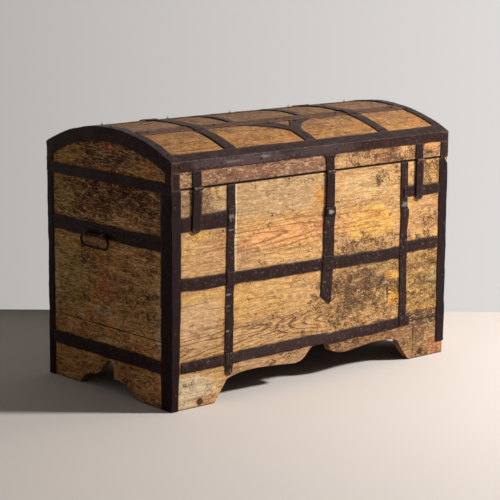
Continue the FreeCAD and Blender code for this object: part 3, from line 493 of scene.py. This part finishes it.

# Painted pine of the left end: ochre laid on with a coarse brush over red brown. Its darker, redder tints
# are partly painted shade, the warm shade of an end turned from the lamp. It looks dark and streaked, with
# pale dry strokes
end_stains = [
    # Lid board and upper board: red brown, with ochre left at the back
    (0, 560, 560, 150, "#6C2F17", 0.95),
    (60, 730, 400, 90, "#5A2411", 0.95),
    (-90, 530, 140, 60, "#B07A42", 0.8),
    (200, 700, 120, 60, "#A97C39", 0.9),
    (230, 560, 110, 70, "#A88448", 0.8),
    (0, 735, 60, 30, "#A2453A", 0.7),
    (20, 690, 120, 40, "#3E1C10", 0.7),
    (-200, 690, 60, 40, "#B46A38", 0.8),
    # Lower board: ochre at the back, red in the middle
    (200, 330, 160, 220, "#B8944C", 0.8),
    (-30, 310, 130, 70, "#B0503A", 0.8),
    (100, 380, 60, 60, "#5E3820", 0.7),
    (-150, 420, 120, 40, "#A8622C", 0.7),
    (-150, 330, 160, 120, "#A0703F", 0.6),
    (50, 330, 30, 26, "#C87A2C", 0.9),
    # The joint between the boards, a dark streak under the handle, and bare wood at both sides
    (0, 197, 3000, 2.4, "#140A05", 0.9),
    (128, 410, 12, 60, "#120905", 1.0),
    (-236, 270, 30, 150, "#E8D6B0", 0.8),
    (268, 310, 30, 180, "#D8C890", 0.7),
    # Feet, and single brush marks
    (180, 60, 200, 110, "#C4843E", 0.9),
    (-200, 60, 200, 110, "#BC7C44", 0.9),
    (-150, 300, 200, 160, "#BC8A50", 0.7),
    (-120, 470, 50, 26, "#E0BC80", 0.7),
    (30, 240, 70, 22, "#DDB880", 0.7),
    (-200, 420, 34, 60, "#6A3E20", 0.6),
    (130, 270, 60, 30, "#7A4A26", 0.6),
]
end_grimes = [(-60, 600, 300, 90, 1.0), (-150, 300, 200, 80, 0.8)]
end_pine = worn_pine(
    "worn_painted_pine_end", ("#C68A48", "#BE7636", "#824026"), "#160A05", "#F6CA8C", grain=5.0,
    along_y=True, specks=1.0, chips=0.65, lines=0.5, dirt=0.8, dust="#5A2E16",
    stains=on_end(end_stains), grimes=on_end(end_grimes),
    strokes=[(0.08, 0.4), (-0.12, 0.4), (0.3, 0.3), (-0.45, 0.2)])

# Painted pine of the right end: the front's distemper with less wear, a lit copy of the end's paint without
# the left end's painted shade, so it looks plain and even
right_end_pine = worn_pine(
    "worn_painted_pine_right_end", ("#B58A58", "#BC9058", "#A37448"), "#39241A", "#E6CBA0", grain=14.0,
    along_y=True, dirt=0.35)

# Painted pine of the dome: ochre in front, grey with dust over the crest, so it looks browner and flatter
lid_stains = [
    ((0, 60, 790), (3000, 340, 300), "#84624C", 0.9),
    ((-55, -240, 740), (60, 40, 60), "#C87E42", 0.6),
    ((500, -225, 740), (50, 60, 60), "#C0743E", 0.5),
    ((-20, 60, 790), (220, 120, 80), "#66503F", 0.6),
    ((-260, 70, 790), (160, 60, 60), "#6E4C38", 0.6),
    ((-258, -28, 786), (16, 28, 30), "#33200F", 0.9),
    ((-420, 8, 788), (14, 32, 30), "#33200F", 0.85),
    ((208, -30, 786), (18, 26, 30), "#43291A", 0.85),
    ((-70, -44, 786), (80, 40, 40), "#5F4C3E", 0.8),
    ((-445, -200, 750), (9, 9, 40), "#3A2114", 0.9),
    ((-180, -205, 750), (8, 8, 40), "#4A2C18", 0.8),
    ((145, -200, 750), (9, 9, 40), "#3A2114", 0.8),
]
lid_pine = worn_pine(
    "worn_painted_pine_lid", ("#B27B43", "#BF8548", "#9D6535"), "#3C2216", "#E0B47C", lines=0.6,
    dirt=0.4, chips=0.45, stains=lid_stains)

# Bare pine of the back, planed and never painted: grey brown and dull
back_pine = worn_pine("worn_pine_back", ("#93714A", "#A07B50", "#876340"), "#3A281A", "#BFA078", chips=0.3)
# Bare pine underneath, rough from the saw and coloured near black, partly floor dirt and partly painted
# shade, so the shadow below stays deep
under_pine_dirt_and_shade = worn_pine("underside_dirt_and_shade", ("#35271C", "#3C2C20", "#2C2018"), "#120B07", "#4C3A2A",
                       chips=0.1)
# Bare pine inside, planed and kept from light and hands: pale and clean
inner_pine = worn_pine("plain_pine", ("#A8835A", "#B38D60", "#9D764C"), "#4A3422", "#C9A87C", specks=0.4,
                       chips=0.15)
# End grain and sawn edges of pine, which drink dirt: a darker rim round each board
cut_pine = worn_pine("dirty_cut_edges", ("#7A5636", "#855F3D", "#69482D"), "#241509", "#A07C54", chips=0.3,
                     dirt=0.5)
# Oak pegs, split and driven in: their end grain is nearly black with old dirt
dark_peg = worn_pine("oak_peg", ("#4A3226", "#523A2C", "#42291F"), "#1C1410", "#6A5040", grain=6)

# Wrought iron of the straps and bands, forged and blackened: nearly black, with bright scrapes and painted
# highlights
strap_marks = [
    (-100, 128, 520, 26, "#3E2D2A", 0.6),
    # From here on, painted highlights on the straps' bumps and crossings
    (-352, 316, 19, 4, "#8E8480", 0.9),
    (-354, 208, 19, 4, "#8E8480", 0.8),
    (-342, 540, 16, 16, "#786C68", 0.8),
    (370, 503, 18, 12, "#786C68", 0.8),
    (-340, 504, 18, 4, "#7E7370", 0.8),
    (-352, 282, 14, 3, "#6E6460", 0.8),
]
strap_iron = forged_iron("forged_iron_straps", "#24120F", "#37211D", "#3A1C12", "#5A423A",
                         marks=on_front(strap_marks, band_face, mark_reach))
# Wrought iron of the corners, forged and seldom touched: the blackest of the irons
corner_iron = forged_iron("forged_iron_corners", "#1A0B0C", "#2E1A1B", "#28110C", "#503C3E")
# Wrought iron of the lid's edges, rubbed by hands and arms: lighter, with grey scrapes along the front
edge_marks = [
    (-260, 702, 220, 22, "#5A4A4C", 0.55),
    (-420, 704, 110, 20, "#544446", 0.5),
    (-215, 706, 30, 7, "#867A78", 0.6),
    (-330, 702, 46, 5, "#7A6E6C", 0.6),
    (20, 704, 220, 20, "#504042", 0.5),
]
lid_iron = forged_iron("forged_iron_lid", "#281410", "#422A26", "#3E1E12", "#644C44",
                       marks=on_front(edge_marks, band_face, mark_reach))
# Wrought iron of the ridge bands, rusted all over: the brownest of the irons
ridge_iron = forged_iron("forged_iron_ridge", "#4C2A16", "#6E4628", "#5E341B", "#7A5A42", rub_cover=0.7,
                         rust_cover=0.6)
# Wrought iron of the straps and forks over the dome, dusty and rusted, and lighter as painted sheen of
# light grazing the crest: between the two
fork_iron = forged_iron("forged_iron_crossing_straps", "#2E1A11", "#4A3124", "#3C2213", "#60473A",
                        rub_cover=0.7, rust_cover=0.6)
# Wrought iron of the hasps, with a painted highlight on the middle one's knob
hasp_iron = forged_iron("forged_iron_hasps", "#200F0C", "#341F1B", "#341910", "#5E463E",
                        marks=on_front([(46, 515, 15, 10, "#8C817E", 0.9)], knob_face, mark_reach))
# Wrought iron nail heads, hammered flat and rusted dull, so they hardly stand out from the bands
nail_iron = forged_iron("forged_nail_heads", "#261612", "#33231E", "#33190F", "#4A3832", metal=0.05,
                        dull=0.65)


# Dressed copies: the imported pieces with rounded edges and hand-worked faces

wood_edge, iron_edge, seam_edge, least_edge = 2 * mm, 0.8 * mm, 5 * mm, 5 * mm
keen_angle, smooth_angle, flat_angle = 0.7, 0.9, 0.004
weld, touch = 0.01 * mm, 0.001 * mm
board_cells = (24 * mm, 24 * mm, 9 * mm)
stave_cells = (24 * mm, 10 * mm, 0)
iron_cells = (9 * mm, 9 * mm, 9 * mm)

# How far the forging moved the edges of thin strips and thick ones, flat faces, and hinged pieces
flat_limit = 22 * mm
band_sway, thick_sway, face_sway = 3.2 * mm, 1.7 * mm, 0.4 * mm
hinged_sway = Vector((0.5, 0.3, 0.5)) * mm
wide_ripple, close_ripple = 70 * mm, 22 * mm
# Without a seed of its own the irons' waver would follow the clock and differ from run to run
waver_seed = 1
noise.seed_set(waver_seed)

# How deep wear has hollowed the boards, and over what lengths
hollow = 0.5 * mm
wear_ripple = (200 * mm, 200 * mm, 60 * mm)

# A face belongs to a board's painted or inner side when it looks that way by more than this cosine
side_on = 0.6
# Boards that end below this height get that near-black colour, dirt and painted shade, on their inner side
# too
underside_top = 130 * mm

# The dome's outer arc, from where its crest and the joint between its front boards lie
crest_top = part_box("lid_front_crest_stave")[1].z
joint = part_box("lid_front_stave")[1]
fall = crest_top - joint.z
arc_radius = (joint.y ** 2 + fall ** 2) / (2 * fall)
arc_z = crest_top - arc_radius
stave_thick = 22
facet_depth = 0.13 * mm
dome_rings = [arc_radius + rise * mm for rise in (-stave_thick, 0, band_thick, 2 * band_thick)]
half_depth = -front_face * mm


def on_dome(point):
    """Sets a point that lies on a flat facet of the dome back on its true arc."""
    reach = math.hypot(point.y, point.z - arc_z)
    for ring in dome_rings:
        if abs(reach - ring) < facet_depth:
            grow = ring / reach
            return Vector((point.x, point.y * grow, arc_z + (point.z - arc_z) * grow))
    return point


def hammered(point, seed, sway):
    """Iron drawn out by hand: its edges waver by a millimetre or two and its face is slightly uneven."""
    wide = noise.noise_vector(point / wide_ripple + seed)
    close = noise.noise_vector(point / close_ripple + seed)
    moved = wide + close / 2
    return Vector(moved[axis] * sway[axis] for axis in range(3))


def planed(point, seed):
    """A board's face hollowed a little by wear: always into the wood."""
    wide = noise.noise(Vector(point[axis] / wear_ripple[axis] for axis in range(3)) + seed)
    return -hollow * (1 + wide)


def outward(name, slot, point):
    """Which way the painted side of a board faces."""
    if "stave" in name:
        return Vector((0, point.y, point.z - arc_z)).normalized()
    if slot == "end_wood":
        return Vector((math.copysign(1, point.x), 0, 0))
    if slot in ("front_wood", "back_wood") or name.endswith("rail"):
        return Vector((0, math.copysign(1, point.y), 0))
    return Vector((0, 0, -1))


def soften_seam(shape, foot):
    """Bevels a lid rail's lower outer edge, where the lid meets the wall."""
    seam = [edge for edge in shape.edges
            if all(end.co.z < foot + 0.5 * mm and abs(abs(end.co.y) - half_depth) < 0.1 * mm
                   for end in edge.verts)]
    bmesh.ops.bevel(shape, geom=seam, offset=seam_edge, segments=3, profile=0.5, affect="EDGES")
    shape.normal_update()


def round_edges(shape, rounding):
    """Rounds every keen edge that is long enough."""
    keen = [edge for edge in shape.edges
            if len(edge.link_faces) == 2 and edge.calc_face_angle(0) > keen_angle
            and edge.calc_length() > least_edge]
    bmesh.ops.bevel(shape, geom=keen, offset=rounding, segments=2, profile=0.5, affect="EDGES")


def cut_into_cells(shape, low, high, cells):
    """Cuts the faces into even cells along each axis, so that they can be worked."""
    for axis, cell in enumerate(cells):
        if not cell:
            continue
        count = int((high[axis] - low[axis]) / cell)
        step = (high[axis] - low[axis]) / (count + 1)
        normal = Vector()
        normal[axis] = 1
        for cut in range(1, count + 1):
            geometry = shape.verts[:] + shape.edges[:] + shape.faces[:]
            bmesh.ops.bisect_plane(shape, geom=geometry, dist=touch, plane_co=low + normal * step * cut,
                                   plane_no=normal)
    shape.normal_update()


def work_by_hand(shape, name, low, high, wood):
    """Moves each point as wear or the hammer would, and keeps it within the chest's own box."""
    seed = Vector((len(name) * 3.7, low.x * 31, low.z * 17))
    loose = band_sway if min(high - low) < flat_limit else thick_sway
    sway = Vector([loose if high[axis] - low[axis] > flat_limit else face_sway for axis in range(3)])
    if "hasp" in name or "hinge" in name:
        sway = hinged_sway
    for point in shape.verts:
        rest = on_dome(point.co)
        moved = rest + (point.normal * planed(rest, seed) if wood else hammered(rest, seed, sway))
        point.co = Vector(min(max(moved[axis], cad_box[0][axis]), cad_box[1][axis]) for axis in range(3))
    shape.normal_update()


def finish_sides(shape, name, slot):
    """The painted side of a board gets finish 0, the inner side finish 1 and its edges finish 2."""
    for face in shape.faces:
        facing = face.normal.dot(outward(name, slot, face.calc_center_median()))
        face.material_index = 0 if facing > side_on else 1 if facing < -side_on else 2


def dressed(name, body, slot, finish):
    """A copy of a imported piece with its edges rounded, its faces cut into cells and worked by hand."""
    low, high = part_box(name)
    wood = slot.endswith("wood")
    shape = bmesh.new()
    shape.from_mesh(frame["nodes"][name].data)
    bmesh.ops.remove_doubles(shape, verts=shape.verts, dist=weld)
    bmesh.ops.dissolve_limit(shape, angle_limit=flat_angle, verts=shape.verts, edges=shape.edges)
    shape.normal_update()
    if name.endswith("rail"):
        soften_seam(shape, low.z)
    round_edges(shape, wood_edge if wood else iron_edge)
    cells = stave_cells if "stave" in name else board_cells if wood else iron_cells
    cut_into_cells(shape, low, high, cells)
    work_by_hand(shape, name, low, high, wood)
    for face in shape.faces:
        face.smooth = True
    if wood:
        finish_sides(shape, name, slot)
    for edge in shape.edges:
        edge.smooth = len(edge.link_faces) == 2 and edge.calc_face_angle(0) < smooth_angle
    mesh = bpy.data.meshes.new(name + "_worked")
    inside = under_pine_dirt_and_shade if high.z < underside_top and slot != "bottom_wood" else inner_pine
    for layer in (finish, inside, cut_pine) if wood else (finish,):
        mesh.materials.append(layer)
    shape.to_mesh(mesh)
    shape.free()
    piece = bpy.data.objects.new(name + "_worked", mesh)
    bpy.context.scene.collection.objects.link(piece)
    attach(piece, body)
    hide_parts(name)


slot_finishes = {
    "front_wood": front_pine, "end_wood": end_pine, "back_wood": back_pine, "bottom_wood": under_pine_dirt_and_shade,
    "lid_wood": lid_pine, "peg_wood": dark_peg, "corner_iron": corner_iron, "strap_iron": strap_iron,
    "lid_iron": lid_iron, "hasp_iron": hasp_iron, "handle_iron": strap_iron, "nail_iron": nail_iron,
}
piece_finishes = {
    "lid_front_rail": rail_pine, "lid_back_rail": back_pine, "lid_ridge_bands": ridge_iron,
    "lid_fork_bands": fork_iron, "lid_left_strap": fork_iron, "lid_right_strap": fork_iron,
}
# Pegs, nails, handles and pins only get their finish: the rest is dressed
small_slots = ("peg_wood", "nail_iron", "handle_iron")
for name, node in frame["nodes"].items():
    slot = node.data.materials[0].name
    finish = piece_finishes.get(name, slot_finishes[slot])
    if slot == "end_wood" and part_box(name)[0].x > 0:
        finish = right_end_pine
    for index in range(len(node.data.materials)):
        node.data.materials[index] = finish
    if slot not in small_slots and not name.endswith("pins"):
        dressed(name, node["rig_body"], slot, finish)


# The studio: a pale floor and a pale wall behind

stage_half, wall_height = 12, 8
wall_distance = 6.42


def pale_floor():
    """A painted floor: matt, pale, plain."""
    material, tree = new_material("pale_floor")
    shader = add(tree, "ShaderNodeBsdfPrincipled", {"Base Color": colour("#DAD0C8"), "Roughness": 0.8,
                                                    "Specular IOR Level": 0.2})
    add(tree, "ShaderNodeOutputMaterial", {"Surface": shader.outputs[0]})
    return material


def pale_wall(left, right):
    """A painted wall, seen pale at any light, darker to the left as painted shade, away from the lamp. From
    behind it isn't there.
    """
    material, tree = new_material("pale_wall")
    place = add(tree, "ShaderNodeTexCoord", {}).outputs["Object"]
    across = add(tree, "ShaderNodeSeparateXYZ", {0: place}).outputs[0]
    share = add(tree, "ShaderNodeMapRange", {"Value": across, "From Min": -1.0, "From Max": 1.0}).outputs[0]
    tint = lay(tree, colour(left), share, 1.0, right)
    seen = add(tree, "ShaderNodeEmission", {"Color": tint}).outputs[0]
    matt = add(tree, "ShaderNodeBsdfDiffuse", {"Color": colour("#C8C5C2")}).outputs[0]
    clear = add(tree, "ShaderNodeBsdfTransparent", {}).outputs[0]
    rays = add(tree, "ShaderNodeLightPath", {}).outputs
    looked = add(tree, "ShaderNodeMath", {0: rays["Is Camera Ray"], 1: rays["Is Glossy Ray"]},
                 operation="MAXIMUM").outputs[0]
    looked = add(tree, "ShaderNodeMath", {0: looked, 1: rays["Is Transmission Ray"]},
                 operation="MAXIMUM").outputs[0]
    lit = add(tree, "ShaderNodeMixShader", {0: looked, 1: matt, 2: seen}).outputs[0]
    behind = add(tree, "ShaderNodeNewGeometry", {}).outputs["Backfacing"]
    both = add(tree, "ShaderNodeMixShader", {0: behind, 1: lit, 2: clear}).outputs[0]
    add(tree, "ShaderNodeOutputMaterial", {"Surface": both})
    return material


def stage_sheet(name, corners, material, place):
    mesh = bpy.data.meshes.new(name)
    mesh.from_pydata(corners, [], [(0, 1, 2, 3)])
    mesh.materials.append(material)
    sheet = bpy.data.objects.new(name, mesh)
    bpy.context.scene.collection.objects.link(sheet)
    sheet.matrix_world = place


far = Vector((ahead.x, ahead.y, 0)).normalized()
side = Vector((far.y, -far.x, 0))
wall_foot = Vector((camera_place.x, camera_place.y, 0)) + far * wall_distance
wall_turn = Matrix((side, Vector((0, 0, 1)), -far)).transposed().to_4x4()
floor_corners = [(x * stage_half, y * stage_half, 0) for x, y in ((-1, -1), (1, -1), (1, 1), (-1, 1))]
wall_corners = [(x * stage_half, y * wall_height, 0) for x, y in ((-1, 0), (1, 0), (1, 1), (-1, 1))]
stage_sheet("floor", floor_corners, pale_floor(), Matrix())
stage_sheet("wall", wall_corners, pale_wall("#B4B1AE", "#E0DDDA"),
            Matrix.Translation(wall_foot) @ wall_turn)


# The light: one soft lamp high at the front right, and a weak even glow

lamp_place, lamp_target = Vector((2.57, -2.93, 2.84)), Vector((0, 0, 0.4))
lamp_size, lamp_power, glow_strength = 0.5, 280, 0.125

lamp_data = bpy.data.lights.new("key_lamp", "AREA")
lamp_data.shape = "RECTANGLE"
lamp_data.size = lamp_data.size_y = lamp_size
lamp_data.energy = lamp_power
lamp = bpy.data.objects.new("key_lamp", lamp_data)
lamp.location = lamp_place
lamp.rotation_euler = (lamp_target - lamp_place).to_track_quat("-Z", "Y").to_euler()
bpy.context.scene.collection.objects.link(lamp)

world = bpy.data.worlds.new("studio")
bpy.context.scene.world = world
world.use_nodes = True
world.node_tree.nodes.clear()
glow = add(world.node_tree, "ShaderNodeBackground", {"Color": colour("#FFFFFF"), "Strength": glow_strength})
add(world.node_tree, "ShaderNodeOutputWorld", {"Surface": glow.outputs[0]})
bpy.context.scene.view_settings.view_transform = "Standard"
